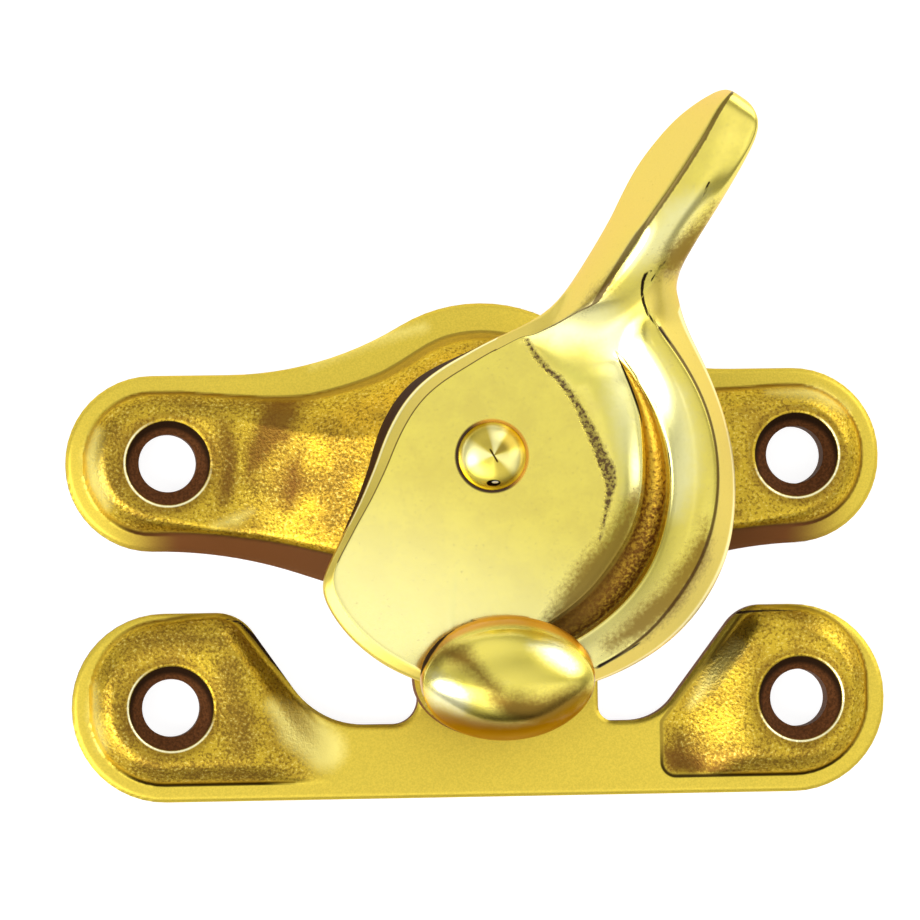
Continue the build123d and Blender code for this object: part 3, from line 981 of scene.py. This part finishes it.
def rimSlice(angle, crease, lip, inner, line, edge, share):
    bottom, plateau = camSizes["bottom"], camSizes["plateau"]
    crest = plateau + camSizes["rimRise"] * share
    lipTop = plateau + camSizes["lipRise"] * min(1.0, share)
    gap = inner - lip
    floor = lipTop - min(camSizes["grooveDepth"], 0.45 * gap) * min(1.0, 1.6 * share)
    rows = [
        (camSizes["bore"], bottom),
        (camSizes["bore"], plateau),
        (camSizes["hub"], plateau),
        (crease - 1.6, plateau),
        (crease, plateau),
        (crease + 0.55 * (lip - crease), plateau + 0.06 * share),
        (lip, lipTop),
        (lip + 0.3 * gap, floor),
        (lip + 0.75 * gap, floor + 0.25 * share),
        (inner, min(crest - 0.35 * min(1.0, share), lipTop + 0.4 * gap * share)),
        (inner + 0.55 * (line - inner), crest + 0.06 * min(1.0, 2 * share)),
        (line, crest - 0.2),
        (edge, plateau - 0.6),
        (edge, bottom + camSizes["skirt"]),
        (edge - 0.3, bottom),
        (camSizes["under"], bottom),
    ]
    return [polar(radius, angle, height) for radius, height in rows]

# angle and radius of the plateau's last even ring, from the corner of the crease round the cut-away side
creaseRun = [(64, 8.85), (68, 9.08), (71, 9.27), (75, 8.9), (80, 8.0), (87, 7.0), (95, 6.2), (103, 5.7),
             (113, 5.3), (124, 5.2)]

# angle and how far the dark wall of the cut-away side stands out below
flareRun = [(93, 0.0), (104, 0.22), (120, 0.42), (139, 0.62), (163, 0.62), (174, 0.52), (184, 0.42),
            (195, 0.36), (203, 0.25), (211, 0)]


def creaseRows(crease, brim, rise):
    # the bore, then the plateau up to the brim, which may stand above it
    plateau = camSizes["plateau"]
    rows = [(camSizes["bore"], camSizes["bottom"]), (camSizes["bore"], plateau), (camSizes["hub"], plateau)]
    rows += [(max(4.3, crease - 1.6), plateau), (crease, plateau)]
    for step in range(1, 7):
        share = step / 7
        rows.append((crease + (brim - crease) * share, plateau + rise * share ** 1.7))
    return rows + [(brim, plateau + rise)]


def cutSlice(angle, edge):
    bottom, plateau = camSizes["bottom"], camSizes["plateau"]
    flare = between(flareRun, angle)[0]
    rise = 0.0
    brim = edge - 0.95
    if angle < 74:
        brim, rise = between(ridgeRun, angle)
        rise -= plateau
    crease = min(between(creaseRun, angle)[0], brim - 0.25)
    rows = creaseRows(crease, brim, rise) + [
        (edge, plateau - 0.5 + 0.3 * rise),
        (edge + 0.8 * flare, bottom + camSizes["skirt"]),
        (edge - 0.25 + 1.5 * flare, bottom),
        (min(camSizes["under"], edge - 1.6), bottom),
    ]
    return [polar(radius, angle, height) for radius, height in rows]


def onLever(distance, across, height):
    along = radians(camSizes["leverAngle"])
    return (
        distance * cos(along) - across * sin(along),
        distance * sin(along) + across * cos(along),
        camSizes["bottom"] + height,
    )


def leverRing(distance):
    left, ridge, right, under, top = between(leverStations, distance)
    shoulder = ridge + 0.6 * (right - ridge)
    deep = top - under
    topSide = [
        (left, under + 0.14 * deep),
        (ridge, top),
        (ridge + 0.33 * (right - ridge), top - 0.05 * deep),
        (shoulder, top - 0.11 * deep),
        (right, under + (0.55 + 0.27 * float(ease(23.0, 30.0, distance))) * deep),
    ]
    middle = [(left - 0.05, under + 0.07 * deep), None, None, None, (right, under + 0.3 * deep)]
    low = [(left - 0.5, under)]
    low += [(ridge + share * (right - ridge), under) for share in (0.0, 0.33, 0.6)]
    low += [(right + 0.6, under)]
    return topSide, middle, low


# slices through the root of the lever, right edge first: the rings up to the outer line, then the wall
rootSlices = [
    {"angle": 41.5, "crease": 7.65, "line": (16.6, 13.5), "wall": (19.0, -5.15)},
    {"angle": 46.0, "crease": 7.75, "line": (17.1, 13.9), "wall": (19.6, -3.3)},
    {"angle": 50.5, "crease": 7.9, "line": (15.8, 13.9), "wall": (18.6, -1.7)},
    {"angle": 56.8, "crease": 8.3, "line": (14.1, 13.7), "wall": (17.2, -0.05)},
    {"angle": 62.2, "crease": 8.75, "line": (11.75, 12.45), "wall": (15.6, 1.75)},
]

def rootSlice(place):
    given = rootSlices[place]
    angle = given["angle"]
    lineRadius, lineHeight = given["line"]
    inner = creaseRows(given["crease"], lineRadius, lineHeight - camSizes["plateau"])
    rows = [polar(radius, angle, height) for radius, height in inner]
    distance, across = given["wall"]
    height = leverRing(distance)[0][4 - place][1]
    rows.append(onLever(distance, across, height))
    rows.append(onLever(distance, across, 0.35 * height))
    rows.append(onLever(distance - 0.3, across * 0.97, 0.0))
    rows.append(polar(camSizes["under"], angle, camSizes["bottom"]))
    return rows


cageRows = []


def buildCam():
    slices = [rimSlice(*row) for row in rimSlices]
    rootStart = len(slices)
    slices += [rootSlice(place) for place in range(5)]
    slices += [cutSlice(*row) for row in cutSlices]
    count, rings = len(slices), len(slices[0])
    cam = startRing("camAndLever", count)
    cageRows.extend(zip(*slices))
    enterMode("EDIT")
    for ring in range(rings - 1):
        extrudeUp(mm)
    enterMode("OBJECT")
    mesh = cam.data
    for ring in range(rings):
        for place in range(count):
            mesh.vertices[ring * count + place].co = Vector(slices[place][ring]) * mm
    # the underside closes back to the bore
    enterMode("EDIT")
    selectMesh("DESELECT")
    enterMode("OBJECT")
    for edge in mesh.edges:
        ends = set(vertex // count for vertex in edge.vertices)
        edge.select = ends == {0} or ends == {rings - 1}
    enterMode("EDIT")
    bpy.ops.mesh.select_mode(type="EDGE")
    bpy.ops.mesh.bridge_edge_loops()
    closeMesh()
    print("cage", len(mesh.vertices), len(mesh.polygons))
    return cam, count, rings, rootStart


leverStops = (20.6, 22.6, 25.0, 27.4, 29.6, 31.4, 32.6, 33.4)


def growLever(cam, count, rootStart):
    # the wall between the root slices is drawn out station by station
    mesh = cam.data
    enterMode("EDIT")
    bpy.ops.mesh.select_mode(type="FACE")
    selectMesh("DESELECT")
    enterMode("OBJECT")
    for face in mesh.polygons:
        levels = sorted(set(vertex // count for vertex in face.vertices))
        inRoot = all(rootStart <= vertex % count <= rootStart + 4 for vertex in face.vertices)
        face.select = inRoot and levels in ([12, 13], [13, 14])
    wallSlice, grown = {}, {}
    for ring in (12, 13, 14):
        for place in range(5):
            corner = mesh.vertices[ring * count + rootStart + place].co
            wallSlice[cornerKey(corner)] = (ring - 12, 4 - place)
    enterMode("EDIT")
    for distance in leverStops:
        extrudeUp(0)
        enterMode("OBJECT")
        topSide, middle, low = leverRing(distance)
        # the new loop lies on the old one, so each corner is known by its place
        renewed = {}
        for corner in [vertex for vertex in mesh.vertices if vertex.select]:
            row, order = wallSlice[cornerKey(corner.co)]
            if row == 0:
                across, height = topSide[order]
            elif row == 2:
                across, height = low[order]
            else:
                across, height = middle[order] or (low[order][0], 0.5 * (low[order][1] + topSide[order][1]))
            corner.co = Vector(onLever(distance, across, height)) * mm
            renewed[cornerKey(corner.co)] = (row, order)
        wallSlice = renewed
        grown.update(renewed)
        enterMode("EDIT")
    closeMesh()
    return grown


def markZones(mesh, count, rings):
    # what each ring and slice of the cage is; the wall runs from -1 inside to 1 on the dark side
    rim = len(rimSlices)
    zones = {name: np.zeros((rings, count)) for name in ("groove", "satin", "line", "slope", "ridge")}
    zones["groove"][7:9, 2:rim] = 1.0
    zones["groove"][7:9, rim - 1] = 0.3
    zones["slope"][5:7, :rim + 5] = 1.0
    zones["satin"][11] = 0.5
    zones["satin"][12:] = 1.0
    zones["satin"][11, rim:rim + 5] = (0.5, 0.5, 0.0, 0.5, 0.5)
    zones["satin"][12, rim:rim + 5] = (1.0, 0.5, 0.0, 0.5, 1.0)
    zones["line"][11, 4:rim] = 1.0
    zones["line"][11, rim + 10:rim + 25] = 1.0
    zones["ridge"][11, rim + 3:rim + 11] = 1.0
    zones["ridge"][12, rim + 3] = 1.0
    zones["wall"] = np.full((rings, count), -1.0)
    for first, last in ((3, rim), (rim + 10, rim + 23)):
        zones["wall"][12, first:last] = 0.0
        zones["wall"][13:, first:last] = 1.0
    for name, values in zones.items():
        addValues(mesh, name, values.ravel())


# brush lines for painted shade in the crease, painted shadow lines, painted highlights and stain with painted
# shade
camMarks = {
    "crease": [
        [(2.85, 9.11, 0.06), (3.53, 7.84, 0.14), (4.49, 6.7, 0.15), (5.32, 5.99, 0.21), (6.28, 4.72, 0.2),
         (6.96, 3.59, 0.22), (7.64, 2.18, 0.32), (8.24, 0.78, 0.36), (8.71, -0.35, 0.44),
         (9.12, -1.19, 0.5), (9.31, -2.17, 0.38), (9.16, -3.15, 0.2), (8.93, -4.26, 0.12),
         (8.71, -5.24, 0.07), (8.41, -6.63, 0)],
    ],
    "ink": [
        [(12.39, 14.15, 0.08), (11.97, 14.02, 0.14), (11.76, 13.46, 0.15), (11.7, 12.63, 0.13),
         (11.87, 11.8, 0.12), (12.2, 10.9, 0.11), (13.05, 9.83, 0.1), (14, 8.6, 0.08)],
        [(7.9, -16.66, 0.13), (9.65, -15.72, 0.11), (11.23, -14.81, 0.07), (12.01, -14.43, 0)],
        [(9.75, 8.1, 0.02), (10.4, 6.65, 0.09), (10.96, 5.23, 0.11), (11.45, 3.83, 0.11),
         (11.76, 2.68, 0.06), (11.82, 1.97, 0)],
        [(9.75, 8.1, 0.03), (10.35, 7.53, 0.05), (11.03, 6.54, 0.06), (11.99, 5.13, 0.06),
         (12.8, 3.73, 0.07), (13.4, 1.91, 0.07), (13.72, 0.23, 0.06), (13.9, -1.58, 0.05),
         (13.93, -2.56, 0.03)],
        [(16.63, 20.8, 0.09), (16.49, 20.46, 0.12), (16.23, 19.85, 0.07), (16.08, 19.23, 0.02),
         (15.72, 18.13, 0)],
        [(13.61, 15.04, 0.02), (13.1, 14.5, 0.09), (12.85, 14.05, 0.05), (12.5, 13.6, 0.09),
         (12.3, 13.05, 0.02)],
    ],
    "pale": [
        [(3.6, 9.6, 0.2), (5.5, 10.2, 1.3), (7.6, 10.6, 1.7), (9.2, 9.6, 1.4), (9.8, 7, 0.9),
         (10.3, 4.1, 0.8), (11, 0.5, 0.7), (11.3, -2.6, 0.3)],
        [(10.4, 9.8, 0.4), (12.2, 6.8, 0.9), (13.7, 4, 1.3), (14.5, 1, 1.3), (14.7, -2, 1),
         (14.2, -4.6, 0.4)],
        [(10.9, 14.8, 0.5), (12.3, 16.2, 1.1), (13.9, 17.9, 1.1), (15.3, 19.2, 0.6), (16.3, 19.9, 0)],
    ],
    "stain": [
        [(9.95, 14.5, -0.1), (9.25, 13.4, 0.1), (8.27, 12.4, 0.05), (7.29, 11.5, -0.1)],
        [(17.1, 19, 0), (16.2, 17.3, 0.6), (15.3, 16.14, 0.9), (14.4, 15.19, 0.9), (13.65, 14.51, 0.6),
         (13.09, 13.96, 0.1)],
        [(11.4, -2.8, 0), (10.5, -5.2, 0.6), (9.3, -7.5, 1.1), (8, -9.6, 1.5), (6.5, -11.6, 1.5),
         (5.2, -13.2, 1)],
        [(16.6, -5.2, -0.2), (16.4, -6.8, 0.4), (15.6, -8.6, 0.8), (13.6, -11.4, 0.9), (11.2, -13.4, 0.8),
         (9, -14.8, 0.5)],
    ],
}


def sharpen(mesh, leverCorners):
    # edge sharpness along the lip, the rim, the ridge and the bevels
    creases = mesh.attributes.new("crease_edge", "FLOAT", "EDGE")
    rim = len(rimSlices)
    cage = {}
    for ring, row in enumerate(cageRows):
        for place, corner in enumerate(row):
            cage[cornerKey(Vector(corner) * mm)] = (ring, place)
    leverSharp = {(0, 0): 0.6, (0, 1): 0.9, (0, 3): 0.15, (0, 4): 0.3}
    ringSharp = {0: 1.0, 1: 0.9, 11: 0.65, 12: 0.45, 14: 0.5}
    for edge in mesh.edges:
        ends = [cornerKey(mesh.vertices[index].co) for index in edge.vertices]
        if all(end in leverCorners for end in ends):
            first, second = (leverCorners[end] for end in ends)
            if first == second:
                creases.data[edge.index].value = leverSharp.get(first, 0.0)
        if all(end in cage for end in ends):
            first, second = sorted(cage[end] for end in ends)
            if first[0] == second[0]:
                ring = first[0]
                value = ringSharp.get(ring, 0.0)
                if ring in (6, 9) and first[1] < rim - 2 and second[1] < rim:
                    value = 0.6
                if ring == 12 and rim <= first[1] and second[1] <= rim + 4:
                    value = 0.0
                creases.data[edge.index].value = value


cam, sliceCount, ringCount, rootStart = buildCam()
markZones(cam.data, sliceCount, ringCount)
leverCorners = growLever(cam, sliceCount, rootStart)
for corner in cam.data.vertices:
    # the lever's right bevel is polished like its top
    row, order = leverCorners.get(cornerKey(corner.co), (0, 0))
    if order > 2:
        cam.data.attributes["satin"].data[corner.index].value = 0.0
sharpen(cam.data, leverCorners)
smoothOut(cam)
bpy.ops.object.shade_smooth()
brush(cam.data, camMarks)
cam.data.materials.append(camBrass())
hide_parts("cam_lever")
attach(cam, "cam")

print("stage: rivet")

rivetSizes = {
    "head": 2.68,
    "seat": 11.56,
    "crown": 13.25,
    "shank": 1.98,
    "tail": 2.8,
}


def buildRivet():
    # half the rivet's outline, spun round the pivot
    head, seat, crown, shank, tail = rivetSizes.values()
    profile = [(0.0, tail + 0.06), (1.2, tail + 0.16), (2.3, tail + 0.5), (2.55, tail + 0.85)]
    profile += [(shank, tail + 0.9), (shank, seat), (head - 0.06, seat), (head, seat + 0.08)]
    for step in range(1, 12):
        turn = radians(90) * step / 12
        profile.append((head * cos(turn) ** 0.9, seat + 0.08 + (crown - seat - 0.08) * sin(turn)))
    profile.append((0.0, crown))
    rivet = turned("rivet", profile, steps=128)
    pickOut(rivet)
    bpy.ops.object.shade_smooth_by_angle(angle=radians(32))
    rivet.data.materials.append(rivetBrass())
    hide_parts("pivot_rivet")
    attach(rivet, "mounting")


buildRivet()

print("stage: floor, light and camera")

studioSizes = {
    "floor": 1.6,
    "floorHeight": -0.02,
    "gray": (0.3, 0.3, 0.3),
    "glow": 0.86,
    "softbox": (22, -14.5, 500),
    "softboxWidth": 40,
    "softboxPower": 0.004,
    "camera": (-37.9, -10.7, 457),
    "target": (-1.6, 0, 0),
    "level": (0.0157, 0.99988, 0),
    "lens": 223.7,
}

deselectAll()
bpy.ops.mesh.primitive_plane_add(size=studioSizes["floor"], location=(0, 0, studioSizes["floorHeight"] * mm))
floor = bpy.context.object
floor.name = "floor"
floorFinish = Finish(bpy.data.materials.new("paleFloor"))
floorFinish.shell = floorFinish.node("BsdfPrincipled")
floorFinish.node("OutputMaterial", None, [Wire(floorFinish, floorFinish.shell.outputs[0])])
floor.data.materials.append(floorFinish.surface({
    "Base Color": studioSizes["gray"],
    "Roughness": 0.9,
    "Emission Color": (1.0, 1.0, 1.0),
    "Emission Strength": studioSizes["glow"],
}))

# panels of light round the piece: towards, where they begin and are full (as a cosine), strength
panels = [
    ((0.08, 0.03, 1), 0.86, 0.985, 0.58),
    ((-0.76, -0.36, 0.68), 0.87, 0.97, 4.6),
    ((0.75, 0.55, 0.5), 0.86, 0.97, 2.8),
    ((0.8, -0.5, 0.75), 0.86, 0.98, 0.7),
    ((-0.3, -0.5, 0.81), 0.90, 0.98, 1.5),
    ((0.15, -0.75, 0.62), 0.87, 0.97, 0.6),
    ((0.42, -0.27, 0.87), 0.93, 0.99, 0.4),
    ((-0.3, 0.8, 0.55), 0.76, 0.97, 0.75),
]

# dark cards, which take away a share of that light
cards = [
    ((0, -1, 0), 0.84, 0.95, 0.85),
    ((-0.6, 0.8, 0.1), 0.86, 0.97, 0.2),
]

world = bpy.data.worlds.new("studio")
bpy.context.scene.world = world
studio = Finish(world)
direction = studio.wire("TexCoord", "Generated")


def lobe(toward, low, high):
    heading = Vector(toward).normalized()
    dot = studio.wire("VectorMath", "Value", {"operation": "DOT_PRODUCT"}, [direction, tuple(heading)])
    return dot.step(low, high)


level = 0.42
for toward, low, high, strength in panels:
    level = level + lobe(toward, low, high) * strength
for toward, low, high, strength in cards:
    level = level * (1.0 - lobe(toward, low, high) * strength)
background = studio.node("Background", None, {"Color": (1.0, 0.995, 0.98), "Strength": level})
studio.node("OutputWorld", None, [Wire(studio, background.outputs[0])])

deselectAll()
bpy.ops.object.light_add(type="AREA", location=Vector(studioSizes["softbox"]) * mm)
softbox = bpy.context.object
softbox.name = "softbox"
softbox.data.shape = "DISK"
softbox.data.size = studioSizes["softboxWidth"] * mm
softbox.data.energy = studioSizes["softboxPower"]

cameraData = bpy.data.cameras.new("camera")
cameraData.lens = studioSizes["lens"]
cameraData.sensor_width = 36
cameraData.clip_start = 0.01
camera = bpy.data.objects.new("camera", cameraData)
bpy.context.scene.collection.objects.link(camera)
stand = Vector(studioSizes["camera"]) * mm
back = (stand - Vector(studioSizes["target"]) * mm).normalized()
right = Vector(studioSizes["level"]).cross(back).normalized()
upward = back.cross(right)
camera.matrix_world = Matrix.Translation(stand) @ Matrix((right, upward, back)).transposed().to_4x4()
bpy.context.scene.camera = camera
bpy.context.scene.view_settings.view_transform = "Standard"
